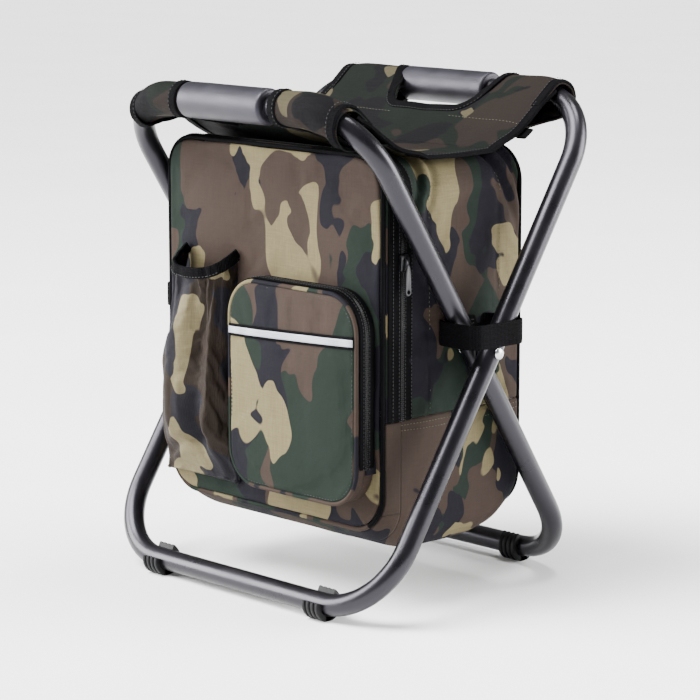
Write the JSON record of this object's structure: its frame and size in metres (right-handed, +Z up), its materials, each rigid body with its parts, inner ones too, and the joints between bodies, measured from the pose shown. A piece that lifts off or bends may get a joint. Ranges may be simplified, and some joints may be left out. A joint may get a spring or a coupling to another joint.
{
  "type": "folding cooler stool",
  "caption": "Folding stool with crossing tubular steel frames, a cloth seat sling and an insulated cooler bag with pockets hung between the legs.",
  "frame": {"origin": "on the floor under the middle of the stool's footprint", "axes": "+Z up, X along the frames' cross bars, -Y towards the front of the bag"},
  "size_m": [0.3504, 0.2834, 0.4212],
  "materials": {
    "tube": "semi-gloss anthracite powder coat",
    "rivet": "plated steel",
    "washer": "matt moulded",
    "foot": "satin moulded",
    "foam": "closed-cell foam with a smooth skin",
    "camouflage": "coated oxford cloth in woodland camouflage",
    "webbing": "black binding and webbing",
    "zip": "black zip tape with a nylon coil",
    "zip_metal": "black enamelled zip slider",
    "buckle": "matt moulded",
    "liner": "welded silver-grey insulating film",
    "reflective": "silver retroreflective tape"
  },
  "bodies": {
    "bag": {"bag_hoop": "camouflage", "bag_base": "camouflage", "lower_gusset_left": "camouflage", "lower_gusset_right": "camouflage", "bag_back_panel": "camouflage", "cooler_liner": "liner", "rear_piping": "webbing", "main_zip_tape_bag": "zip", "seat_middle": "camouflage", "seat_slope_front": "camouflage", "seat_slope_rear": "camouflage", "leg_strap_left": "webbing", "leg_strap_right": "webbing", "shoulder_pad_left": "camouflage", "shoulder_pad_right": "camouflage", "shoulder_anchor_left": "webbing", "shoulder_anchor_right": "webbing", "strap_buckle_left": "buckle", "strap_buckle_right": "buckle", "shoulder_web_left": "webbing", "shoulder_web_right": "webbing"},
    "inner_frame": {"inner_frame_tube": "tube", "foot_rear_left": "foot", "foot_rear_right": "foot", "grip_front": "foam", "sleeve_front_left": "camouflage", "sleeve_front_right": "camouflage"},
    "outer_frame": {"outer_frame_tube": "tube", "foot_front_left": "foot", "foot_front_right": "foot", "grip_rear": "foam", "sleeve_rear_left": "camouflage", "sleeve_rear_right": "camouflage", "pivot_rivet_left": "rivet", "pivot_rivet_right": "rivet", "pivot_washer_left": "washer", "pivot_washer_right": "washer"},
    "front_flap": {"front_panel": "camouflage", "front_piping": "webbing", "flap_hoop": "camouflage", "flap_liner": "liner", "main_zip_tape_flap": "zip", "pocket_gusset": "camouflage", "pocket_zip_tape_panel": "zip", "bottle_pocket": "camouflage", "bottle_pocket_band": "webbing"},
    "pocket_door": {"pocket_face": "camouflage", "pocket_reflective_strip": "reflective", "pocket_zip_tape_face": "zip"},
    "main_slider": {"main_zip_slider": "zip_metal"},
    "main_pull": {"main_zip_pull": "zip_metal"},
    "pocket_slider": {"pocket_zip_slider": "zip_metal", "pocket_zip_pull": "zip_metal"}
  },
  "joints": [
    {"name": "inner_frame_fold", "type": "hinge", "parent": "bag", "child": "inner_frame", "pos_m": [0, 0, 0.20914], "axis": [-1, 0, 0], "range_deg": [0, 27], "deforming": ["seat_slope_front"]},
    {"name": "outer_frame_fold", "type": "hinge", "parent": "bag", "child": "outer_frame", "pos_m": [0, 0, 0.20914], "axis": [1, 0, 0], "range_deg": [0, 27], "deforming": ["seat_slope_rear"]},
    {"name": "front_flap_open", "type": "hinge", "parent": "bag", "child": "front_flap", "pos_m": [0, -0.0845, 0.062], "axis": [1, 0, 0], "range_deg": [0, 20], "deforming": ["lower_gusset_left", "lower_gusset_right"]},
    {"name": "pocket_door_open", "type": "hinge", "parent": "front_flap", "child": "pocket_door", "pos_m": [0, -0.0993, 0.0885], "axis": [1, 0, 0], "range_deg": [0, 20]},
    {"name": "main_zip_run", "type": "slide", "parent": "bag", "child": "main_slider", "axis": [0, 0, 1], "range_m": [-0.118, 0]},
    {"name": "main_pull_swing", "type": "hinge", "parent": "main_slider", "child": "main_pull", "pos_m": [0.1377, -0.068, 0.2835], "axis": [0, -1, 0], "range_deg": [0, 90]},
    {"name": "pocket_zip_run", "type": "slide", "parent": "front_flap", "child": "pocket_slider", "axis": [0, 0, 1], "range_m": [-0.085, 0.01]}
  ],
  "couplings": [
    {"joint": "outer_frame_fold", "follows": "inner_frame_fold", "ratio": 1}
  ]
}
